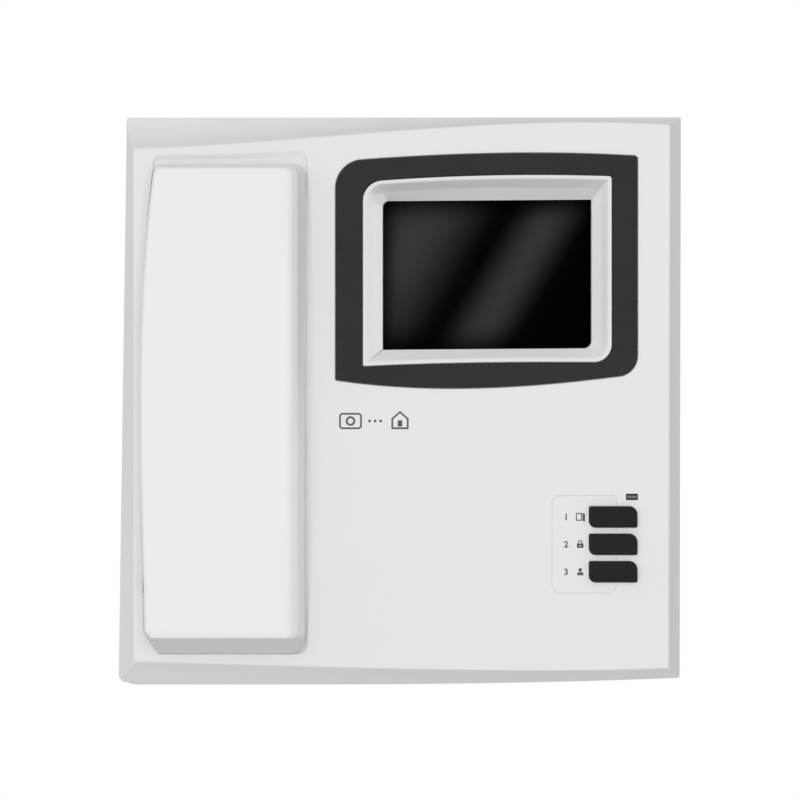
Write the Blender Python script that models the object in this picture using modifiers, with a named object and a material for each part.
"""Wall-mounted video intercom monitor with a lift-off handset.

Every piece is modelled lying on its back on a bench: X to the right, Y up the wall and Z out of the
wall, in millimetres. The bench empty then stands the assembly up, so in the world +X is right, +Z is
up, +Y points into the wall and the wall face of the mounting bracket lies on Y = 0.
"""

import math

import bmesh
import bpy
from mathutils import Vector

MM = 0.001

# Clearances and walls
GAP = 0.3
WALL = 2.4
CORNER_STEPS = 5
EDGE_STEPS = 8
ROUND_STEPS = 20
THROUGH = 3.0
SHARP_ANGLE = 32.0

# Depths out of the wall
BRACKET_THICK = 1.5
HOUSING_BACK = 0.3
HOUSING_FLOOR = 4.3
PARTING = 24.0
SKIRT_TOP = 28.0
FACE = 48.0
FACE_INSIDE = 45.0
TRIM_SEAT = 46.2
SHELF = 46.6
CRADLE_FLOOR = 33.0
CRADLE_UNDERSIDE = 30.8
BEZEL_BACK = 40.0
BEZEL_FRONT = 49.0
WINDOW_FRONT = BEZEL_BACK - GAP
WINDOW_BACK = 38.0
HANDSET_PARTING = 49.7
HANDSET_SHOULDER = 68.0
HANDSET_RIM = 70.9
HANDSET_FRONT = 72.0
HANDSET_GRIP_BACK = 42.0
HANDSET_CUP_BACK = CRADLE_FLOOR + GAP
MAIN_BOARD_BACK = 12.0
BOARD_THICK = 1.6
MAIN_BOARD_FRONT = MAIN_BOARD_BACK + BOARD_THICK
BUTTON_BOARD_BACK = 33.0
DISPLAY_BOARD_BACK = 29.8

# Outlines: corners counter-clockwise from the bottom edge's left-hand end, then corner radii, then for
# each edge how far its two control points bow outwards from the straight line between the corners. A
# fifth corner cuts the bottom left-hand corner off.
SKIRT = {
    "corners": [(-106.6, -113.3), (111.6, -110.6), (112.1, 113.1), (-109.0, 112.9), (-112.2, -110.2)],
    "radii": [8.0, 1.2, 0.6, 0.6, 1.4],
    "bows": [(0.8, 2.3), (0, 0), (0, 0), (0, 0), (0, 0)],
}
FRONT_FACE = {
    "corners": [(-103.2, -102.8), (106.0, -105.6), (106.5, 108.9), (-105.1, 99.1), (-105.0, -100.9)],
    "radii": [1.6, 0.8, 0.8, 1.2, 1.6],
    "bows": [(0.8, 3.2), (0, 0), (7.6, -0.9), (0, 0), (0, 0)],
}
TRIM = {
    "corners": [(-25.3, 8.1), (93.5, 9.8), (93.5, 96.4), (-25.3, 94.7)],
    "radii": [0.6, 8.0, 1.2, 11.0],
    "bows": [(5.9, 4.2), (0, 0), (2.6, 2.1), (0, 0)],
}
BEZEL = {
    "corners": [(-14.6, 13.6), (83.4, 15.3), (83.4, 88.5), (-14.6, 86.6)],
    "radii": [0.6, 7.0, 1.2, 8.0],
    "bows": [(-1.0, -0.7), (0, 0), (1.5, 1.6), (0, 0)],
}
SCREEN = {
    "corners": [(-6.7, 20.2), (75.6, 20.8), (75.6, 79.6), (-6.7, 79.0)],
    "radii": [0.4, 3.0, 0.4, 2.0],
    "bows": [(0, 0), (0, 0), (0, 0), (0, 0)],
}
CRADLE_MOUTH = {
    "corners": [(-95.0, -99.8), (-36.7, -99.8), (-36.7, 99.1), (-97.4, 96.9), (-101.0, -91.0)],
    "radii": [1.2, 3.8, 3.0, 2.4, 2.0],
    "bows": [(0, 0), (0, 0), (-1.2, -0.8), (6.8, 2.5), (0, 0)],
}
CRADLE_SHELF = {
    "corners": [(-94.95, -99.7), (-37.0, -99.7), (-37.0, 95.9), (-97.3, 94.9), (-100.9, -90.9)],
    "radii": [1.2, 3.5, 2.6, 2.0, 2.0],
    "bows": [(0, 0), (0, 0), (0, 0), (6.8, 2.5), (0, 0)],
}
HANDSET_BASE = {
    "corners": [(-94.9, -99.6), (-37.5, -99.6), (-37.5, 93.0), (-97.2, 93.0), (-100.8, -90.8)],
    "radii": [1.4, 6.0, 3.6, 4.0, 2.0],
    "bows": [(0, 0), (0, 0), (0, 0), (6.8, 2.5), (0, 0)],
}
HANDSET_SIDES = {
    "corners": [(-96.5, -93.2), (-39.8, -93.2), (-39.8, 91.0), (-96.1, 91.0), (-99.4, -89.6)],
    "radii": [2.0, 4.0, 3.6, 3.6, 2.0],
    "bows": [(0, 0), (0, 0), (0, 0), (6.7, 2.5), (0, 0)],
}
HANDSET_EDGE = {
    "corners": [(-96.6, -92.2), (-42.0, -92.2), (-42.0, 90.7), (-95.6, 90.7), (-99.0, -89.3)],
    "radii": [1.6, 3.0, 3.2, 3.2, 1.6],
    "bows": [(0, 0), (0, 0), (0, 0), (6.7, 2.5), (0, 0)],
}
HANDSET_FLAT = {
    "corners": [(-95.8, -89.8), (-43.6, -89.8), (-43.6, 89.9), (-94.7, 89.9), (-98.0, -87.4)],
    "radii": [1.2, 2.6, 2.8, 2.8, 1.2],
    "bows": [(0, 0), (0, 0), (0, 0), (6.7, 2.5), (0, 0)],
}

# Finger scoop beside the cradle: right-hand lip of the dished strip, and its depth
SCOOP_X = -37.1
SCOOP_REACH = 5.0
SCOOP_HALF_LENGTH = 96.0
SCOOP_DEPTH = 1.2

# Push buttons, indicator and their board
BUTTON_X = 84.0
BUTTON_YS = {"button_monitor": -45.8, "button_unlock": -56.6, "button_call": -67.4}
BUTTON_WIDTH = 18.5
BUTTON_HEIGHT = 7.8
BUTTON_FRONT = 50.0
BUTTON_BACK = 41.0
BUTTON_TRAVEL = 1.2
LED_X, LED_Y = 91.4, -37.9
LED_WIDTH, LED_HEIGHT = 4.1, 1.9

# Handset centre line, its fittings and the hook
GRIP_X = -69.0
RECEIVER_Y = 64.0
MIC_Y = -76.0
HANDSET_SCREW_YS = (36.0, -50.0)
HANDSET_SCREW_SEAT = HANDSET_GRIP_BACK + 2.2
HOOK_Y = 18.0
HOOK_TIP = HANDSET_GRIP_BACK - GAP
CHIME_Y = -46.0
CUP_HALF_WIDTH = 25.0
CUP_SPANS = ((40.5, 87.5), (-92.5, -58.5))
CUP_LEAN = 4.0
CUP_CORNER = 9.0
CUP_WALL = 2.5
HANDSET_JACK_Y = -70.0
HANDSET_JACK_DEPTH = 59.0
HANDSET_JACK_WINDOW = (6.4, 5.9)

# Thumbwheels in the right-hand side wall
WHEEL_X = 101.3
WHEEL_RADIUS = 9.0
WHEEL_YS = {"volume": -20.0, "brightness": -45.0, "contrast": -70.0}
WHEEL_BACK, WHEEL_FRONT = 17.7, 20.9

# Fasteners, and the posts that take them
HOUSING_POST_RADIUS = 4.8
COVER_POST_RADIUS = 4.0
BOARD_POST_RADIUS = 3.2
HANDSET_POST_RADIUS = 3.6
SMALL_POST_RADIUS = 2.9
COVER_SCREW_SEAT = 14.0
HOUSING_POST_FRONT = 20.0
COVER_SCREW_HOLE = 1.7
COVER_THREAD = 1.6
BOARD_THREAD = 1.4
SMALL_THREAD = 1.3
COVER_SCREWS = [(-92.0, -88.0), (97.5, -98.5), (97.5, 101.0), (-92.0, 86.0)]
BOARD_SCREWS = [(-23.0, -84.0), (96.5, -84.5), (96.5, 8.0), (-23.0, 8.0)]
DISPLAY_SCREWS = [(-21.0, 90.5), (89.4, 14.0)]
BUTTON_BOARD_SCREWS = [(68.5, -36.0), (68.5, -76.0)]

# Wall bracket, cable entry and line socket
BRACKET_HALF = (76.0, 66.0)
CABLE_ENTRY = (-30.0, 30.0, -56.0, -20.0)
HOOK_TABS = [(-62.0, 44.0), (62.0, 44.0), (-62.0, -50.0), (62.0, -50.0)]
JACK_Y = -78.0
JACK_DEPTH = 13.0
JACK_WINDOW = (7.2, 6.2)

# Vent slots in the housing's top and bottom walls
VENT_XS = [-42.0, -28.0, -14.0, 0.0, 14.0, 28.0, 42.0]
VENT_DEPTHS = (9.0, 14.6)
VENT_HALF = 4.5
VENT_SLOT = 2.2

PARTS = "video_intercom_monitor"
CUTTERS = "cutters"


# ---------------------------------------------------------------- scene and materials

def clear_scene():
    for obj in list(bpy.data.objects):
        bpy.data.objects.remove(obj, do_unlink=True)


def new_collection(name):
    collection = bpy.data.collections.new(name)
    bpy.context.scene.collection.children.link(collection)
    return collection


def plastic(name, colour, roughness, metallic=0.0):
    """A Principled material for one kind of surface."""
    material = bpy.data.materials.new(name)
    material.use_nodes = True
    shader = material.node_tree.nodes["Principled BSDF"]
    shader.inputs["Base Color"].default_value = (*colour, 1.0)
    shader.inputs["Roughness"].default_value = roughness
    shader.inputs["Metallic"].default_value = metallic
    material.diffuse_color = (*colour, 1.0)
    return material


def make_materials():
    return {
        "case_white": plastic("case_white", (0.80, 0.80, 0.80), 0.45),
        "housing_white": plastic("housing_white", (0.74, 0.74, 0.73), 0.50),
        "handset_white": plastic("handset_white", (0.84, 0.84, 0.84), 0.40),
        "trim_charcoal": plastic("trim_charcoal", (0.022, 0.022, 0.026), 0.50),
        "bezel_grey": plastic("bezel_grey", (0.76, 0.78, 0.78), 0.40),
        "screen_black": plastic("screen_black", (0.004, 0.004, 0.004), 0.06),
        "button_black": plastic("button_black", (0.011, 0.011, 0.013), 0.45),
        "lens_grey": plastic("lens_grey", (0.10, 0.10, 0.10), 0.30),
        "zinc_steel": plastic("zinc_steel", (0.60, 0.61, 0.62), 0.35, 1.0),
        "board_green": plastic("board_green", (0.02, 0.16, 0.06), 0.45),
        "component_black": plastic("component_black", (0.03, 0.03, 0.03), 0.55),
        "core_steel": plastic("core_steel", (0.22, 0.22, 0.24), 0.45, 1.0),
        "sleeve_blue": plastic("sleeve_blue", (0.03, 0.06, 0.20), 0.35),
        "terminal_green": plastic("terminal_green", (0.03, 0.25, 0.08), 0.45),
        "sink_aluminium": plastic("sink_aluminium", (0.70, 0.71, 0.72), 0.35, 1.0),
        "gasket_rubber": plastic("gasket_rubber", (0.02, 0.02, 0.02), 0.80),
        "ribbon_grey": plastic("ribbon_grey", (0.45, 0.45, 0.46), 0.55),
        "led_red": plastic("led_red", (0.45, 0.02, 0.02), 0.20),
    }


# ---------------------------------------------------------------- outlines

def corner_arc(before, corner, after, radius):
    """Points of the arc of this radius that rounds a corner, from the first side to the second."""
    here = Vector(corner)
    back = (Vector(before) - here).normalized()
    ahead = (Vector(after) - here).normalized()
    half_angle = back.angle(ahead) / 2
    reach = radius / math.tan(half_angle)
    centre = here + (back + ahead).normalized() * radius / math.sin(half_angle)
    start = here + back * reach - centre
    turn = start.angle_signed(here + ahead * reach - centre)
    points = []
    for step in range(CORNER_STEPS + 1):
        angle = -turn * step / CORNER_STEPS
        cosine, sine = math.cos(angle), math.sin(angle)
        points.append(centre + Vector((start.x * cosine - start.y * sine, start.x * sine + start.y * cosine)))
    return points


def bowed_edge(start, end, bows):
    """Points inside a cubic edge whose two control points stand off the chord to its right."""
    chord = end - start
    outwards = Vector((chord.y, -chord.x)).normalized()
    first = start + chord / 3 + outwards * bows[0]
    second = start + chord * 2 / 3 + outwards * bows[1]
    points = []
    for step in range(1, EDGE_STEPS):
        t = step / EDGE_STEPS
        points.append(
            start * (1 - t) ** 3 + first * 3 * t * (1 - t) ** 2 + second * 3 * t**2 * (1 - t) + end * t**3
        )
    return points


def moved_in(corners, distance):
    """The corners of a polygon whose sides all stand this far inside the given one."""
    moved = []
    for i, corner in enumerate(corners):
        here = Vector(corner)
        back = (Vector(corners[i - 1]) - here).normalized()
        ahead = (Vector(corners[(i + 1) % len(corners)]) - here).normalized()
        half_angle = back.angle(ahead) / 2
        moved.append(here + (back + ahead).normalized() * distance / math.sin(half_angle))
    return moved


def outline(shape, inset=0.0):
    """Closed counter-clockwise outline of a shape, moved inwards by inset."""
    corners = moved_in(shape["corners"], inset)
    count = len(corners)
    arcs = []
    for i, corner in enumerate(corners):
        radius = max(shape["radii"][i] - inset, 0.25)
        arcs.append(corner_arc(corners[i - 1], corner, corners[(i + 1) % count], radius))
    points = []
    for i, arc in enumerate(arcs):
        points += arc
        points += bowed_edge(arc[-1], arcs[(i + 1) % count][0], shape["bows"][i])
    return points


def leaf(x, y, width, height, grow=0.0):
    """Button outline: its top right and bottom left corners are round, the other two are crisp."""
    half_width = width / 2 + grow
    half_height = height / 2 + grow
    return {
        "corners": [
            (x - half_width, y - half_height),
            (x + half_width, y - half_height),
            (x + half_width, y + half_height),
            (x - half_width, y + half_height),
        ],
        "radii": [2.7, 0.6, 3.3, 0.6],
        "bows": [(0, 0)] * 4,
    }


def rectangle(x0, x1, y0, y1):
    return [Vector((x0, y0)), Vector((x1, y0)), Vector((x1, y1)), Vector((x0, y1))]


def circle(x, y, radius, steps=ROUND_STEPS):
    points = []
    for step in range(steps):
        angle = math.tau * step / steps
        points.append(Vector((x + radius * math.cos(angle), y + radius * math.sin(angle))))
    return points


# ---------------------------------------------------------------- shape builders

def add_box(bm, x0, x1, y0, y1, z0, z1):
    made = bmesh.ops.create_cube(bm, size=1.0)["verts"]
    for vert in made:
        vert.co.x = (x0 if vert.co.x < 0 else x1) * MM
        vert.co.y = (y0 if vert.co.y < 0 else y1) * MM
        vert.co.z = (z0 if vert.co.z < 0 else z1) * MM


def add_cylinder(bm, x, y, z0, z1, radius, top_radius=None, steps=ROUND_STEPS):
    made = bmesh.ops.create_cone(
        bm,
        cap_ends=True,
        segments=steps,
        radius1=radius * MM,
        radius2=(radius if top_radius is None else top_radius) * MM,
        depth=(z1 - z0) * MM,
    )["verts"]
    bmesh.ops.translate(bm, vec=Vector((x, y, (z0 + z1) / 2)) * MM, verts=made)


def add_loft(bm, sections, closed=False):
    """Skin over outlines at depths. Open, it is capped at both ends; closed, the last meets the first."""
    rows = []
    for points, depth in sections:
        rows.append([bm.verts.new(Vector((p.x, p.y, depth)) * MM) for p in points])
    pairs = list(zip(rows, rows[1:]))
    if closed:
        pairs.append((rows[-1], rows[0]))
    made = []
    for low, high in pairs:
        for i in range(len(low)):
            j = (i + 1) % len(low)
            made.append(bm.faces.new((low[i], low[j], high[j], high[i])))
    if not closed:
        made.append(bm.faces.new(list(reversed(rows[0]))))
        made.append(bm.faces.new(rows[-1]))
    bmesh.ops.recalc_face_normals(bm, faces=made)


def mesh_object(name, bm, collection):
    mesh = bpy.data.meshes.new(name)
    bm.to_mesh(mesh)
    bm.free()
    obj = bpy.data.objects.new(name, mesh)
    collection.objects.link(obj)
    return obj


class Workshop:
    """Makes parts and cutters on the bench, and fastens cutters to parts."""

    def __init__(self):
        self.materials = make_materials()
        self.parts = new_collection(PARTS)
        self.cutters = new_collection(CUTTERS)
        self.bench = self.empty("bench", None, (0, 0, 0))
        self.bench.rotation_euler = (math.pi / 2, 0, 0)

    def empty(self, name, parent, place):
        obj = bpy.data.objects.new(name, None)
        obj.empty_display_size = 0.01
        obj.location = Vector(place) * MM
        obj.parent = parent
        self.parts.objects.link(obj)
        return obj

    def adopt(self, obj, material, axis=None, smooth=True):
        """Give a finished object its material and its place, with its origin on its own joint axis."""
        obj.data.materials.clear()
        obj.data.materials.append(self.materials[material])
        obj.parent = axis or self.bench
        if axis:
            obj.location = -axis.location
        if smooth and obj.type == "MESH":
            obj.data.shade_smooth()
            obj.data.set_sharp_from_angle(angle=math.radians(SHARP_ANGLE))
        return obj

    def part(self, name, bm, material, axis=None):
        return self.adopt(mesh_object(name, bm, self.parts), material, axis)

    def helper(self, name, bm):
        obj = mesh_object(name, bm, self.cutters)
        obj.parent = self.bench
        obj.hide_render = True
        obj.display_type = "WIRE"
        return obj

    def boolean(self, obj, name, operation, bm):
        helper = self.helper(f"{obj.name}_{name}", bm)
        if obj.parent != self.bench:
            helper.parent = obj.parent
            helper.location = obj.location
        modifier = obj.modifiers.new(name, "BOOLEAN")
        modifier.operation = operation
        modifier.object = helper
        modifier.solver = "EXACT"

    def cut(self, obj, name, bm):
        self.boolean(obj, name, "DIFFERENCE", bm)

    def join(self, obj, name, bm):
        self.boolean(obj, name, "UNION", bm)

    def plate(self, name, rings, z0, z1, material, axis=None):
        """Flat plate from a 2D curve: the first ring is its edge and the others are its holes."""
        curve = bpy.data.curves.new(name, "CURVE")
        curve.dimensions = "2D"
        curve.fill_mode = "BOTH"
        curve.extrude = (z1 - z0) / 2 * MM
        for ring in rings:
            spline = curve.splines.new("POLY")
            spline.points.add(len(ring) - 1)
            for point, place in zip(spline.points, ring):
                point.co = (place.x * MM, place.y * MM, 0, 1)
            spline.use_cyclic_u = True
        obj = bpy.data.objects.new(name, curve)
        self.parts.objects.link(obj)
        self.adopt(obj, material, axis)
        obj.location.z += (z0 + z1) / 2 * MM
        return obj

    def turned(self, name, profile, x, y, material, axis=None, steps=ROUND_STEPS):
        """Turned piece: (radius, depth) profile from its front end down to its back end, on the bench Z."""
        bm = bmesh.new()
        verts = [bm.verts.new((radius * MM, 0, depth * MM)) for radius, depth in profile]
        for a, b in zip(verts, verts[1:]):
            bm.edges.new((a, b))
        obj = self.part(name, bm, material, axis)
        obj.location += Vector((x, y, 0)) * MM
        screw = obj.modifiers.new("turn", "SCREW")
        screw.steps = steps
        screw.render_steps = steps
        screw.use_merge_vertices = True
        screw.merge_threshold = 0.00001
        screw.use_smooth_shade = True
        return obj


# ---------------------------------------------------------------- back: bracket and housing

def make_wall_bracket(shop):
    """Pressed steel plate with keyholes, a cable window and four hooks for the housing."""
    half_x, half_y = BRACKET_HALF
    bm = bmesh.new()
    add_box(bm, -half_x, half_x, -half_y, half_y, 0, BRACKET_THICK)
    bracket = shop.part("wall_bracket", bm, "zinc_steel")
    corner = bracket.modifiers.new("corners", "BEVEL")
    corner.width = 0.0004
    corner.segments = 1
    holes = bmesh.new()
    x0, x1, y0, y1 = CABLE_ENTRY
    add_box(holes, x0, x1, y0, y1, -THROUGH, THROUGH)
    for x in (-41.75, 41.75):
        for y in (30.0, -30.0):
            add_cylinder(holes, x, y, -THROUGH, THROUGH, 2.3)
    shop.cut(bracket, "screw_holes", holes)
    tabs = bmesh.new()
    for x, y in HOOK_TABS:
        add_box(tabs, x - 5, x + 5, y - 0.75, y + 0.75, 0.5, 7.0)
    shop.join(bracket, "hook_roots", tabs)
    tips = bmesh.new()
    for x, y in HOOK_TABS:
        add_box(tips, x - 5, x + 5, y - 0.75, y + 3.8, 5.5, 7.0)
    shop.join(bracket, "hook_tips", tips)


def make_rear_housing(shop):
    """Open-fronted tub: vents, cable entry, hook slots, board posts and screw posts."""
    bm = bmesh.new()
    add_loft(bm, [
        (outline(SKIRT, 4.0), HOUSING_BACK),
        (outline(SKIRT, 1.6), 3.0),
        (outline(SKIRT, 1.3), PARTING - GAP),
        (outline(SKIRT, 1.3 + WALL), PARTING - GAP),
        (outline(SKIRT, 1.6 + WALL), HOUSING_FLOOR),
    ])
    housing = shop.part("rear_housing", bm, "housing_white")

    posts = bmesh.new()
    for x, y in COVER_SCREWS:
        add_cylinder(posts, x, y, HOUSING_FLOOR - 1, HOUSING_POST_FRONT, HOUSING_POST_RADIUS)
    for x, y in BOARD_SCREWS:
        add_cylinder(posts, x, y, HOUSING_FLOOR - 1, MAIN_BOARD_BACK - GAP, BOARD_POST_RADIUS)
    for y in (HOOK_Y - 18, HOOK_Y + 12):
        add_cylinder(posts, GRIP_X, y, HOUSING_FLOOR - 1, MAIN_BOARD_BACK - GAP, BOARD_POST_RADIUS)
    shop.join(housing, "posts", posts)
    ribs = bmesh.new()
    for side in (-1, 1):
        y0, y1 = sorted((JACK_Y + side * 5.9, JACK_Y + side * 7.9))
        add_box(ribs, -109.0, -93.0, y0, y1, HOUSING_FLOOR - 1, JACK_DEPTH + 4.8)
    shop.join(housing, "socket_ribs", ribs)

    pocket = bmesh.new()
    half_x, half_y = BRACKET_HALF
    add_box(pocket, -half_x - 2, half_x + 2, -half_y - 2, half_y + 2, -1, BRACKET_THICK + GAP)
    shop.cut(housing, "bracket_pocket", pocket)

    holes = bmesh.new()
    x0, x1, y0, y1 = CABLE_ENTRY
    add_box(holes, x0, x1, y0, y1, 1, HOUSING_FLOOR + 2)
    for x, y in HOOK_TABS:
        add_box(holes, x - 6, x + 6, y - 2.2, y + 5.2, 1, HOUSING_FLOOR + 2)
    for x, y in COVER_SCREWS:
        add_cylinder(holes, x, y, -1, COVER_SCREW_SEAT, 3.3)
    for x, y in BOARD_SCREWS:
        add_cylinder(holes, x, y, HOUSING_FLOOR + 1.7, MAIN_BOARD_BACK + 1, BOARD_THREAD, steps=12)
    shop.cut(housing, "floor_holes", holes)

    narrow = bmesh.new()
    for x, y in COVER_SCREWS:
        add_cylinder(narrow, x, y, COVER_SCREW_SEAT - 1, HOUSING_POST_FRONT + 1, COVER_SCREW_HOLE, steps=12)
    shop.cut(housing, "screw_clearance", narrow)

    walls = bmesh.new()
    for x in VENT_XS:
        for y0, y1 in ((100, 120), (-120, -102)):
            for depth in VENT_DEPTHS:
                add_box(walls, x - VENT_HALF, x + VENT_HALF, y0, y1, depth, depth + VENT_SLOT)
    for y in WHEEL_YS.values():
        add_box(walls, 103, 118, y - 8.2, y + 8.2, WHEEL_BACK - 0.6, WHEEL_FRONT + 0.6)
    half_y, half_depth = JACK_WINDOW
    y0, y1 = JACK_Y - half_y, JACK_Y + half_y
    add_box(walls, -118, -104, y0, y1, JACK_DEPTH - half_depth, JACK_DEPTH + half_depth)
    shop.cut(housing, "wall_openings", walls)


# ---------------------------------------------------------------- front cover

def make_front_cover(shop):
    """Front shell with sloping sides, handset cradle, trim seat and button holes."""
    bm = bmesh.new()
    add_loft(bm, [
        (outline(FRONT_FACE), FACE),
        (outline(SKIRT), SKIRT_TOP),
        (outline(SKIRT), PARTING),
        (outline(SKIRT, WALL), PARTING),
        (outline(SKIRT, WALL), SKIRT_TOP - 1),
        (outline(FRONT_FACE, WALL), FACE_INSIDE),
    ])
    cover = shop.part("front_cover", bm, "case_white")

    cradle_block = bmesh.new()
    add_loft(cradle_block, [
        (outline(CRADLE_MOUTH, -1.6), CRADLE_UNDERSIDE),
        (outline(CRADLE_MOUTH, -1.6), FACE_INSIDE + 1.5),
    ])
    shop.join(cover, "cradle_block", cradle_block)

    posts = bmesh.new()
    for x, y in COVER_SCREWS:
        top = CRADLE_UNDERSIDE + 1 if x < 0 else FACE_INSIDE + 1
        add_cylinder(posts, x, y, HOUSING_POST_FRONT + GAP, top, COVER_POST_RADIUS)
    for x, y in DISPLAY_SCREWS:
        low = DISPLAY_BOARD_BACK + BOARD_THICK + GAP
        add_cylinder(posts, x, y, low, FACE_INSIDE + 0.6, SMALL_POST_RADIUS, steps=14)
    for x, y in BUTTON_BOARD_SCREWS:
        low = BUTTON_BOARD_BACK + BOARD_THICK + GAP
        add_cylinder(posts, x, y, low, FACE_INSIDE + 1, SMALL_POST_RADIUS, steps=14)
    shop.join(cover, "screw_posts", posts)

    recesses = bmesh.new()
    add_loft(recesses, [
        (outline(HANDSET_BASE, GAP), CRADLE_FLOOR),
        (outline(HANDSET_BASE, GAP), SHELF),
        (outline(CRADLE_SHELF), SHELF),
        (outline(CRADLE_MOUTH), FACE),
        (outline(CRADLE_MOUTH), FACE + 2),
    ])
    add_loft(recesses, [(outline(TRIM, -GAP), TRIM_SEAT), (outline(TRIM, -GAP), FACE + 2)])
    shop.cut(cover, "recesses", recesses)

    scoop = bmesh.new()
    add_loft(scoop, [
        (scoop_outline(0.0), FACE - SCOOP_DEPTH),
        (scoop_outline(SCOOP_REACH), FACE + GAP),
        (scoop_outline(SCOOP_REACH), FACE + 2),
    ])
    shop.cut(cover, "finger_scoop", scoop)

    holes = bmesh.new()
    add_loft(holes, [(outline(BEZEL, -GAP), FACE_INSIDE - 2), (outline(BEZEL, -GAP), FACE)])
    for y in BUTTON_YS.values():
        hole = outline(leaf(BUTTON_X, y, BUTTON_WIDTH, BUTTON_HEIGHT, GAP))
        add_loft(holes, [(hole, FACE_INSIDE - 2), (hole, FACE + 2)])
    half_width, half_height = LED_WIDTH / 2 + GAP, LED_HEIGHT / 2 + GAP
    x0, x1 = LED_X - half_width, LED_X + half_width
    add_box(holes, x0, x1, LED_Y - half_height, LED_Y + half_height, FACE_INSIDE - 2, FACE + 2)
    low, high = CRADLE_UNDERSIDE - THROUGH, CRADLE_FLOOR + THROUGH
    add_cylinder(holes, GRIP_X, HOOK_Y, low, high, 4.0)
    for x, y in sound_hole_places(GRIP_X, CHIME_Y, 6.5, 3):
        add_cylinder(holes, x, y, low, high, 1.5, steps=6)
    for x, y in COVER_SCREWS:
        depth = 29.0 if x < 0 else 34.0
        add_cylinder(holes, x, y, HOUSING_POST_FRONT - 1, depth, COVER_THREAD, steps=10)
    for x, y in DISPLAY_SCREWS:
        add_cylinder(holes, x, y, DISPLAY_BOARD_BACK, DISPLAY_BOARD_BACK + 10, SMALL_THREAD, steps=8)
    for x, y in BUTTON_BOARD_SCREWS:
        add_cylinder(holes, x, y, BUTTON_BOARD_BACK, BUTTON_BOARD_BACK + 9, SMALL_THREAD, steps=8)
    shop.cut(cover, "holes", holes)


def scoop_outline(reach):
    """Lens beside the cradle: straight on the handset's side, bulging by reach on the other."""
    points = []
    steps = 16
    for step in range(steps + 1):
        along = -1 + 2 * step / steps
        bulge = reach * (1 - along * along) + 0.3
        points.append(Vector((SCOOP_X + bulge, along * SCOOP_HALF_LENGTH)))
    points.append(Vector((SCOOP_X - 1.5, SCOOP_HALF_LENGTH)))
    points.append(Vector((SCOOP_X - 1.5, -SCOOP_HALF_LENGTH)))
    return points


def sound_hole_places(x, y, pitch, rings):
    """Centre and rings of six, twelve and so on, as in a moulded sound grille."""
    places = [(x, y)]
    for ring in range(1, rings):
        for step in range(6 * ring):
            angle = math.tau * step / (6 * ring)
            places.append((x + pitch * ring * math.cos(angle), y + pitch * ring * math.sin(angle)))
    return places


# ---------------------------------------------------------------- screen stack

def make_trim_frame(shop):
    """Charcoal surround that lies in its seat around the bezel, with a lightly chamfered front edge."""
    bm = bmesh.new()
    back, front = TRIM_SEAT + GAP, FACE + 0.5
    add_loft(bm, [
        (outline(TRIM), back),
        (outline(TRIM), front - 0.4),
        (outline(TRIM, 0.4), front),
        (outline(BEZEL, -GAP), front),
        (outline(BEZEL, -GAP), back),
    ], closed=True)
    shop.part("trim_frame", bm, "trim_charcoal")


def make_screen_bezel(shop):
    """Funnel from a raised rim down to the picture opening, hollow at the back, with a rear flange."""
    bm = bmesh.new()
    add_loft(bm, [
        (outline(BEZEL, -2.5), BEZEL_BACK),
        (outline(BEZEL, -2.5), FACE_INSIDE - GAP),
        (outline(BEZEL), FACE_INSIDE - GAP),
        (outline(BEZEL), BEZEL_FRONT),
        (outline(BEZEL, 1.3), BEZEL_FRONT),
        (outline(BEZEL, 1.7), BEZEL_FRONT - 0.7),
        (outline(SCREEN), BEZEL_BACK + 1.2),
        (outline(SCREEN), BEZEL_BACK),
    ], closed=True)
    shop.part("screen_bezel", bm, "bezel_grey")


def make_screen_stack(shop):
    """Protective window, picture panel and the board that drives it."""
    bm = bmesh.new()
    add_box(bm, -11, 80, 15.5, 84, WINDOW_BACK, WINDOW_FRONT)
    shop.part("screen_window", bm, "screen_black")

    bm = bmesh.new()
    panel_back = DISPLAY_BOARD_BACK + BOARD_THICK + GAP
    add_box(bm, -11, 80, 15.5, 84, panel_back, WINDOW_BACK - GAP)
    panel = shop.part("display_panel", bm, "core_steel")
    ease = panel.modifiers.new("edges", "BEVEL")
    ease.width = 0.0005
    ease.segments = 1

    rings = [rectangle(-25, 93, 9, 95)]
    rings += [circle(x, y, 1.6, 10) for x, y in DISPLAY_SCREWS]
    shop.plate("display_board", rings, DISPLAY_BOARD_BACK, DISPLAY_BOARD_BACK + BOARD_THICK, "board_green")
    for number, (x, y) in enumerate(DISPLAY_SCREWS, 1):
        screw_up(shop, f"display_screw_{number}", x, y, DISPLAY_BOARD_BACK - GAP, 7.5, 2.4, 1.0)


def screw_up(shop, name, x, y, seat, length, head_radius, shank_radius, axis=None):
    """Pan-head screw driven from the back: its head lies behind depth seat and its shank points forward."""
    head = head_radius * 0.75
    shop.turned(name, [
        (0, seat + length),
        (shank_radius * 0.6, seat + length - 0.8),
        (shank_radius, seat + length - 1.6),
        (shank_radius, seat),
        (head_radius, seat),
        (head_radius * 0.92, seat - head * 0.7),
        (head_radius * 0.45, seat - head),
        (head_radius * 0.3, seat - head * 0.5),
        (0, seat - head * 0.5),
    ], x, y, "zinc_steel", axis, steps=12)


def screw_down(shop, name, x, y, seat, length, head_radius, shank_radius):
    """Pan-head screw driven from the front: its head lies before depth seat and its shank points back."""
    head = head_radius * 0.75
    shop.turned(name, [
        (0, seat + head * 0.5),
        (head_radius * 0.3, seat + head * 0.5),
        (head_radius * 0.45, seat + head),
        (head_radius * 0.92, seat + head * 0.7),
        (head_radius, seat),
        (shank_radius, seat),
        (shank_radius, seat - length + 1.6),
        (shank_radius * 0.6, seat - length + 0.8),
        (0, seat - length),
    ], x, y, "zinc_steel", steps=12)


# ---------------------------------------------------------------- buttons and indicator

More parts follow.
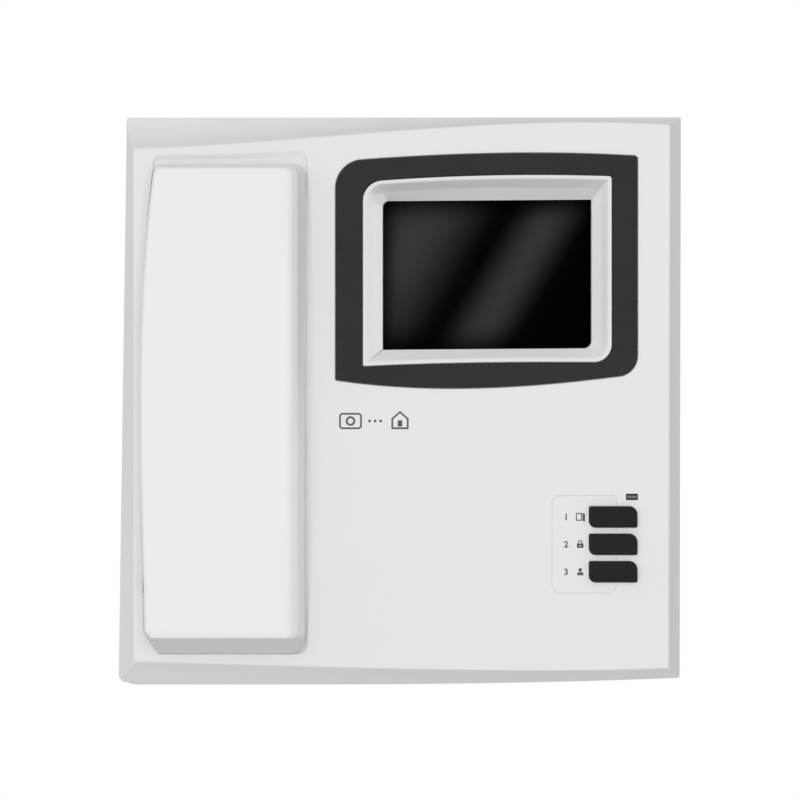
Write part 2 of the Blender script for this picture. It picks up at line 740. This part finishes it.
def make_buttons(shop):
    """Three leaf-shaped caps with rear flanges, each on its own slide, over its own switch."""
    for number, (name, y) in enumerate(BUTTON_YS.items(), 1):
        slide = shop.empty(f"{name}_slide", shop.bench, (BUTTON_X, y, FACE))
        cap = leaf(BUTTON_X, y, BUTTON_WIDTH, BUTTON_HEIGHT)
        flange = leaf(BUTTON_X, y, BUTTON_WIDTH + 1.8, BUTTON_HEIGHT + 1.4)
        bm = bmesh.new()
        add_loft(bm, [
            (outline(cap, 0.7), BUTTON_FRONT),
            (outline(cap, 0.2), BUTTON_FRONT - 0.25),
            (outline(cap), BUTTON_FRONT - 0.8),
            (outline(cap), FACE_INSIDE - GAP),
            (outline(flange), FACE_INSIDE - GAP),
            (outline(flange), BUTTON_BACK),
        ])
        shop.part(name, bm, "button_black", slide)
        make_button_switch(shop, number, y)


def make_button_switch(shop, number, y):
    """Small square push switch with a round actuator."""
    low = BUTTON_BOARD_BACK + BOARD_THICK + GAP
    bm = bmesh.new()
    add_box(bm, BUTTON_X - 3, BUTTON_X + 3, y - 3, y + 3, low, low + 3.4)
    switch = shop.part(f"button_switch_{number}", bm, "component_black")
    actuator = bmesh.new()
    add_cylinder(actuator, BUTTON_X, y, low + 2, BUTTON_BACK - BUTTON_TRAVEL - GAP, 1.75, steps=12)
    shop.join(switch, "actuator", actuator)


def make_button_board(shop):
    """Board behind the buttons, its two screws, the indicator lamp and its light pipe."""
    front = BUTTON_BOARD_BACK + BOARD_THICK
    rings = [rectangle(64, 99, -80, -31)]
    rings += [circle(x, y, 1.6, 10) for x, y in BUTTON_BOARD_SCREWS]
    shop.plate("button_board", rings, BUTTON_BOARD_BACK, front, "board_green")
    for number, (x, y) in enumerate(BUTTON_BOARD_SCREWS, 1):
        screw_up(shop, f"button_board_screw_{number}", x, y, BUTTON_BOARD_BACK - GAP, 8.0, 2.4, 1.0)

    shop.turned("indicator_lamp", [
        (0, front + 5.3),
        (0.8, front + 5.0),
        (1.4, front + 4.0),
        (1.5, front + 1.2),
        (1.9, front + 1.2),
        (1.9, front + GAP),
        (0, front + GAP),
    ], LED_X, LED_Y, "led_red", steps=14)

    half_width, half_height = LED_WIDTH / 2, LED_HEIGHT / 2
    bm = bmesh.new()
    face = rectangle(LED_X - half_width, LED_X + half_width, LED_Y - half_height, LED_Y + half_height)
    foot = rectangle(LED_X - 3, LED_X + 3, LED_Y - 1.6, LED_Y + 1.6)
    step = FACE_INSIDE - GAP
    add_loft(bm, [(face, FACE + 0.2), (face, step), (foot, step), (foot, front + 5.8)])
    shop.part("indicator_lens", bm, "lens_grey")


# ---------------------------------------------------------------- main board and electrics

def make_main_board(shop):
    """Main board on the housing's posts, with its screws."""
    rings = [rectangle(-28, 105.3, -90, 13)]
    rings += [circle(x, y, 1.7, 10) for x, y in BOARD_SCREWS]
    shop.plate("main_board", rings, MAIN_BOARD_BACK, MAIN_BOARD_FRONT, "board_green")
    for number, (x, y) in enumerate(BOARD_SCREWS, 1):
        screw_down(shop, f"board_screw_{number}", x, y, MAIN_BOARD_FRONT + GAP, 7.0, 2.7, 1.1)


def make_power_parts(shop):
    """Transformer, reservoir capacitors, regulator on its heat sink, relay and terminals."""
    low = MAIN_BOARD_FRONT + GAP
    bm = bmesh.new()
    add_box(bm, -14, 28, -78, -43, low + 3, low + 25)
    transformer = shop.part("power_transformer", bm, "core_steel")
    bobbin = bmesh.new()
    add_box(bobbin, -5, 19, -82, -39, low, low + 28)
    shop.join(transformer, "bobbin", bobbin)

    for number, (x, y, radius, height) in enumerate([(45, -72, 8.0, 25.0), (45, -50, 6.3, 20.0)], 1):
        shop.turned(f"reservoir_capacitor_{number}", [
            (0, low + height - 0.4),
            (radius - 1.6, low + height - 0.4),
            (radius - 1.2, low + height),
            (radius, low + height - 0.8),
            (radius, low + 2.4),
            (radius - 0.6, low + 1.8),
            (radius, low + 1.2),
            (radius, low),
            (0, low),
        ], x, y, "sleeve_blue", steps=16)

    bm = bmesh.new()
    add_box(bm, 32, 62, -26, -24, low, low + 24)
    sink = shop.part("heat_sink", bm, "sink_aluminium")
    fins = bmesh.new()
    for step in range(6):
        x = 32 + step * 5.6
        add_box(fins, x, x + 1.6, -34, -25, low, low + 24)
    shop.join(sink, "fins", fins)
    bm = bmesh.new()
    add_box(bm, 42, 52, -23.7, -19.2, low + 4, low + 19)
    regulator = shop.part("voltage_regulator", bm, "component_black")
    legs = bmesh.new()
    for x in (44.5, 47.0, 49.5):
        add_box(legs, x - 0.4, x + 0.4, -21.8, -21.2, low, low + 6)
    shop.join(regulator, "legs", legs)

    bm = bmesh.new()
    add_box(bm, -22, -3, -24, -9, low, low + 15)
    relay = shop.part("lock_relay", bm, "component_black")
    ease = relay.modifiers.new("edges", "BEVEL")
    ease.width = 0.0006
    ease.segments = 2

    bm = bmesh.new()
    top = MAIN_BOARD_BACK - GAP
    add_box(bm, -20.2, 20.2, -43, -33, 4.9, top)
    terminals = shop.part("terminal_block", bm, "terminal_green")
    entries = bmesh.new()
    for step in range(8):
        x = -17.5 + 5 * step
        add_cylinder(entries, x, -38, 3, 7.5, 1.7, steps=10)
    shop.cut(terminals, "screw_wells", entries)


def make_display_ribbon(shop):
    """Flat lead looping from the main board up to the display board."""
    bm = bmesh.new()
    steps = 12
    reach = 13.0
    low, high = MAIN_BOARD_FRONT + 1.2, DISPLAY_BOARD_BACK - 1.0
    rows = []
    for step in range(steps + 1):
        turn = math.pi * step / steps
        y = 5 - reach * 0.6 * math.sin(turn) + (step / steps) * reach
        z = low + (high - low) * (1 - math.cos(turn)) / 2
        rows.append([bm.verts.new(Vector((x, y, z)) * MM) for x in (24, 44)])
    for low_row, high_row in zip(rows, rows[1:]):
        bm.faces.new((low_row[0], low_row[1], high_row[1], high_row[0]))
    ribbon = shop.part("display_ribbon", bm, "ribbon_grey")
    thick = ribbon.modifiers.new("thickness", "SOLIDIFY")
    thick.thickness = 0.0006
    thick.offset = 0


def make_thumbwheels(shop):
    """Knurled wheels whose rims stand out of the side wall, each on the hub of its own control."""
    low = MAIN_BOARD_FRONT + GAP
    for name, y in WHEEL_YS.items():
        pot = bmesh.new()
        add_loft(pot, [
            (circle(WHEEL_X, y, 5.0), low),
            (circle(WHEEL_X, y, 5.0), WHEEL_BACK - GAP),
            (circle(WHEEL_X, y, 2.4), WHEEL_BACK - GAP),
            (circle(WHEEL_X, y, 2.4), low),
        ], closed=True)
        shop.part(f"{name}_control", pot, "component_black")

        pivot = shop.empty(f"{name}_pivot", shop.bench, (WHEEL_X, y, WHEEL_BACK))
        rim = wheel_rim(WHEEL_X, y)
        bm = bmesh.new()
        add_loft(bm, [
            (circle(WHEEL_X, y, 2.0, len(rim)), low + 0.6),
            (circle(WHEEL_X, y, 2.0, len(rim)), WHEEL_BACK),
            (rim, WHEEL_BACK),
            (rim, WHEEL_FRONT),
        ])
        wheel = shop.part(f"{name}_wheel", bm, "button_black", pivot)
        slot = bmesh.new()
        add_box(slot, WHEEL_X - 3.5, WHEEL_X + 3.5, y - 0.6, y + 0.6, WHEEL_FRONT - 1, WHEEL_FRONT + 2)
        shop.cut(wheel, "driver_slot", slot)


def wheel_rim(x, y):
    """Rim with shallow grip notches."""
    points = []
    teeth = 16
    for step in range(teeth * 2):
        angle = math.tau * step / (teeth * 2)
        radius = WHEEL_RADIUS if step % 2 else WHEEL_RADIUS - 0.5
        points.append(Vector((x + radius * math.cos(angle), y + radius * math.sin(angle))))
    return points


# ---------------------------------------------------------------- chime, hook and line socket

def make_chime_speaker(shop):
    """Ringer loudspeaker behind the sound holes in the cradle's floor."""
    front = CRADLE_UNDERSIDE - GAP
    shop.turned("chime_speaker", [
        (0, front - 5.0),
        (6.0, front - 4.2),
        (7.0, front - 5.2),
        (20.0, front - 1.6),
        (22.0, front - 0.8),
        (23.0, front),
        (25.0, front),
        (25.0, front - 1.6),
        (22.5, front - 2.6),
        (13.0, front - 9.0),
        (13.0, front - 15.5),
        (0, front - 15.5),
    ], GRIP_X, CHIME_Y, "core_steel", steps=28)


def make_hook(shop):
    """Sprung plunger that the hung handset holds down, with its return spring and switch."""
    flange_back = 23.5
    slide = shop.empty("hook_slide", shop.bench, (GRIP_X, HOOK_Y, CRADLE_FLOOR))
    bm = bmesh.new()
    add_cylinder(bm, GRIP_X, HOOK_Y, flange_back, flange_back + 2.0, 6.0)
    plunger = shop.part("hook_plunger", bm, "handset_white", slide)
    stem = bmesh.new()
    add_loft(stem, [
        (circle(GRIP_X, HOOK_Y, 3.5), flange_back + 1),
        (circle(GRIP_X, HOOK_Y, 3.5), HOOK_TIP - 1.5),
        (circle(GRIP_X, HOOK_Y, 2.9), HOOK_TIP - 0.4),
        (circle(GRIP_X, HOOK_Y, 1.8), HOOK_TIP),
    ])
    shop.join(plunger, "stem", stem)
    tongue = bmesh.new()
    add_box(tongue, GRIP_X - 3, GRIP_X + 3, HOOK_Y - 17, HOOK_Y - 3, flange_back + 0.2, flange_back + 1.8)
    shop.join(plunger, "tongue", tongue)

    board_rings = [rectangle(GRIP_X - 13, GRIP_X + 13, HOOK_Y - 22, HOOK_Y + 16)]
    shop.plate("hook_board", board_rings, MAIN_BOARD_BACK, MAIN_BOARD_FRONT, "board_green")

    bm = bmesh.new()
    low = MAIN_BOARD_FRONT + GAP
    add_box(bm, GRIP_X - 6.4, GRIP_X + 6.4, HOOK_Y - 16.5, HOOK_Y - 10.5, low, low + 7.4)
    switch = shop.part("hook_switch", bm, "component_black")
    actuator = bmesh.new()
    add_box(actuator, GRIP_X - 1.2, GRIP_X + 1.2, HOOK_Y - 14.5, HOOK_Y - 12.5, low + 6, flange_back - 0.2)
    shop.join(switch, "actuator", actuator)
    make_hook_spring(shop, low, flange_back - GAP)


def make_hook_spring(shop, low, high):
    """Compression spring between the hook board and the plunger's flange."""
    wire = 0.35
    radius = 4.4
    turns = 4
    steps = 9
    curve = bpy.data.curves.new("hook_spring", "CURVE")
    curve.dimensions = "3D"
    curve.bevel_depth = wire * MM
    curve.bevel_resolution = 2
    curve.use_fill_caps = True
    spline = curve.splines.new("POLY")
    count = turns * steps
    spline.points.add(count)
    rise = high - low - 2 * wire - 0.1
    for step, point in enumerate(spline.points):
        angle = math.tau * step / steps
        x = radius * math.cos(angle)
        y = radius * math.sin(angle)
        z = low + wire + 0.05 + rise * step / count
        point.co = (x * MM, y * MM, z * MM, 1)
    spring = bpy.data.objects.new("hook_spring", curve)
    shop.parts.objects.link(spring)
    shop.adopt(spring, "zinc_steel")
    spring.location = Vector((GRIP_X, HOOK_Y, 0)) * MM


def make_socket(shop, name, centre, size, mouth, depth, direction, axis=None):
    """Modular cord socket: a block with a rectangular mouth and a latch notch, facing along X."""
    x, y, z = centre
    length, width, height = size
    bm = bmesh.new()
    add_box(bm, x - length / 2, x + length / 2, y - width / 2, y + width / 2, z - height / 2, z + height / 2)
    block = shop.part(name, bm, "component_black", axis)
    hollow = bmesh.new()
    face = x + direction * length / 2
    ends = sorted((face + direction * 1.0, face - direction * depth))
    add_box(hollow, *ends, y - mouth[0] / 2, y + mouth[0] / 2, z - mouth[1] / 2, z + mouth[1] / 2)
    shop.cut(block, "mouth", hollow)
    latch = bmesh.new()
    add_box(latch, *ends, y - 1.6, y + 1.6, z - mouth[1] / 2 - 1.1, z)
    shop.cut(block, "latch_notch", latch)


# ---------------------------------------------------------------- handset

def make_handset(shop):
    """Everything that lifts off: two shells, capsules and their seals, weight, socket and screws."""
    lift = shop.empty("handset_lift", shop.bench, (GRIP_X, 0, CRADLE_FLOOR))
    make_handset_outer(shop, lift)
    make_handset_inner(shop, lift)

    shop.turned("receiver_capsule", [
        (0, 46.5),
        (9.0, 46.5),
        (9.0, 44.0),
        (18.0, 42.6),
        (18.0, 38.2),
        (16.5, 38.2),
        (14.0, 38.9),
        (0, 39.6),
    ], GRIP_X, RECEIVER_Y, "component_black", lift, steps=24)
    shop.turned("receiver_gasket", [
        (17.6, 37.9),
        (17.6, 36.5),
        (14.0, 36.5),
        (14.0, 37.9),
        (17.6, 37.9),
    ], GRIP_X, RECEIVER_Y, "gasket_rubber", lift, steps=24)
    shop.turned("microphone_capsule", [
        (0, 43.7),
        (4.6, 43.7),
        (4.8, 43.2),
        (4.8, 37.4),
        (0, 37.4),
    ], GRIP_X, MIC_Y, "core_steel", lift, steps=16)
    shop.turned("microphone_boot", [
        (6.4, 43.4),
        (6.4, 36.5),
        (5.2, 36.5),
        (5.2, 43.4),
        (6.4, 43.4),
    ], GRIP_X, MIC_Y, "gasket_rubber", lift, steps=16)

    bm = bmesh.new()
    add_box(bm, GRIP_X - 9, GRIP_X + 9, -36, 24, 63.0, 69.2)
    weight = shop.part("handset_weight", bm, "core_steel", lift)
    ease = weight.modifiers.new("edges", "BEVEL")
    ease.width = 0.0008
    ease.segments = 2

    jack_place = (-94.3, HANDSET_JACK_Y, HANDSET_JACK_DEPTH)
    make_socket(shop, "handset_socket", jack_place, (12.0, 10.6, 9.6), (7.9, 6.4), 10.0, -1, lift)
    for number, y in enumerate(HANDSET_SCREW_YS, 1):
        screw_up(shop, f"handset_screw_{number}", GRIP_X, y, HANDSET_SCREW_SEAT, 12.0, 2.6, 1.1, lift)


def make_handset_outer(shop, lift):
    """Long front shell: side walls lean in to a flat front whose rim is broad on the right-hand side."""
    bm = bmesh.new()
    add_loft(bm, [
        (outline(HANDSET_FLAT), HANDSET_FRONT),
        (outline(HANDSET_EDGE), HANDSET_RIM),
        (outline(HANDSET_SIDES), HANDSET_SHOULDER),
        (outline(HANDSET_BASE), HANDSET_PARTING),
        (outline(HANDSET_BASE, 2.2), HANDSET_PARTING),
        (outline(HANDSET_SIDES, 2.4), HANDSET_SHOULDER),
        (outline(HANDSET_SIDES, 4.0), HANDSET_FRONT - 2.5),
    ])
    shell = shop.part("handset_outer_shell", bm, "handset_white", lift)

    posts = bmesh.new()
    for y in HANDSET_SCREW_YS:
        low, high = HANDSET_PARTING - 1.5, HANDSET_FRONT - 1.8
        add_cylinder(posts, GRIP_X, y, low, high, HANDSET_POST_RADIUS, steps=14)
    shop.join(shell, "screw_posts", posts)
    holes = bmesh.new()
    for y in HANDSET_SCREW_YS:
        add_cylinder(holes, GRIP_X, y, HANDSET_PARTING - 4, HANDSET_PARTING + 9, 1.4, steps=10)
    y, z = HANDSET_JACK_Y, HANDSET_JACK_DEPTH
    half_y, half_depth = HANDSET_JACK_WINDOW
    add_box(holes, -106, -96, y - half_y, y + half_y, z - half_depth, z + half_depth)
    shop.cut(shell, "holes", holes)


def make_handset_inner(shop, lift):
    """Back shell with a raised ear cup and mouth cup, whose ends rest in the cradle."""
    parting = HANDSET_PARTING - GAP
    bm = bmesh.new()
    add_loft(bm, [
        (outline(HANDSET_BASE, 3.2), HANDSET_GRIP_BACK),
        (outline(HANDSET_BASE, 1.4), HANDSET_GRIP_BACK + 2),
        (outline(HANDSET_BASE), parting),
    ])
    shell = shop.part("handset_inner_shell", bm, "handset_white", lift)
    cups = bmesh.new()
    for span in CUP_SPANS:
        add_loft(cups, [
            (cup_outline(span, CUP_LEAN), HANDSET_CUP_BACK),
            (cup_outline(span, 0), HANDSET_GRIP_BACK + 1.5),
        ])
    shop.join(shell, "cups", cups)
    hollow = bmesh.new()
    add_loft(hollow, [
        (outline(HANDSET_BASE, 5.4), HANDSET_GRIP_BACK + 2),
        (outline(HANDSET_BASE, 3.8), HANDSET_GRIP_BACK + 3.5),
        (outline(HANDSET_BASE, 2.2), parting + 1),
    ])
    shop.cut(shell, "hollow", hollow)
    wells = bmesh.new()
    for span in CUP_SPANS:
        add_loft(wells, [
            (cup_outline(span, CUP_WALL + 3), HANDSET_CUP_BACK + 2.2),
            (cup_outline(span, CUP_WALL), HANDSET_GRIP_BACK + 4),
        ])
    shop.cut(shell, "cup_wells", wells)
    bosses = bmesh.new()
    for y in HANDSET_SCREW_YS:
        add_cylinder(bosses, GRIP_X, y, HANDSET_GRIP_BACK + 0.6, HANDSET_PARTING - 1.8, 4.4, steps=14)
    shop.join(shell, "screw_bosses", bosses)
    holes = bmesh.new()
    for x, y in sound_hole_places(GRIP_X, RECEIVER_Y, 4.5, 3):
        add_cylinder(holes, x, y, 31, 38, 1.1, steps=6)
    for x, y in sound_hole_places(GRIP_X, MIC_Y, 3.2, 2):
        add_cylinder(holes, x, y, 31, 38, 0.9, steps=6)
    for y in HANDSET_SCREW_YS:
        add_cylinder(holes, GRIP_X, y, HANDSET_GRIP_BACK - 10, HANDSET_SCREW_SEAT + GAP, 3.2, steps=14)
    shop.cut(shell, "holes", holes)
    shanks = bmesh.new()
    for y in HANDSET_SCREW_YS:
        add_cylinder(shanks, GRIP_X, y, HANDSET_SCREW_SEAT, HANDSET_PARTING, 1.5, steps=10)
    shop.cut(shell, "shank_holes", shanks)


def cup_outline(span, inset):
    """Outline of an ear or mouth cup between the two Y values of span, every side moved in by inset."""
    x0, x1 = GRIP_X - CUP_HALF_WIDTH + inset, GRIP_X + CUP_HALF_WIDTH - inset
    y0, y1 = span[0] + inset, span[1] - inset
    return outline({
        "corners": [(x0, y0), (x1, y0), (x1, y1), (x0, y1)],
        "radii": [CUP_CORNER] * 4,
        "bows": [(0, 0)] * 4,
    })


def make_cover_screws(shop):
    """Long screws through the housing's posts into the cover's posts."""
    for number, (x, y) in enumerate(COVER_SCREWS, 1):
        length = 13.5 if x < 0 else 18.0
        screw_up(shop, f"cover_screw_{number}", x, y, COVER_SCREW_SEAT - GAP, length, 2.8, 1.3)


def main():
    clear_scene()
    shop = Workshop()
    make_wall_bracket(shop)
    make_rear_housing(shop)
    make_front_cover(shop)
    make_trim_frame(shop)
    make_screen_bezel(shop)
    make_screen_stack(shop)
    make_buttons(shop)
    make_button_board(shop)
    make_main_board(shop)
    make_power_parts(shop)
    make_display_ribbon(shop)
    make_thumbwheels(shop)
    make_chime_speaker(shop)
    make_hook(shop)
    jack_place = (-101.3, JACK_Y, JACK_DEPTH)
    make_socket(shop, "base_socket", jack_place, (14.0, 11.2, 9.6), (7.9, 6.4), 11.0, -1)
    make_handset(shop)
    make_cover_screws(shop)


main()
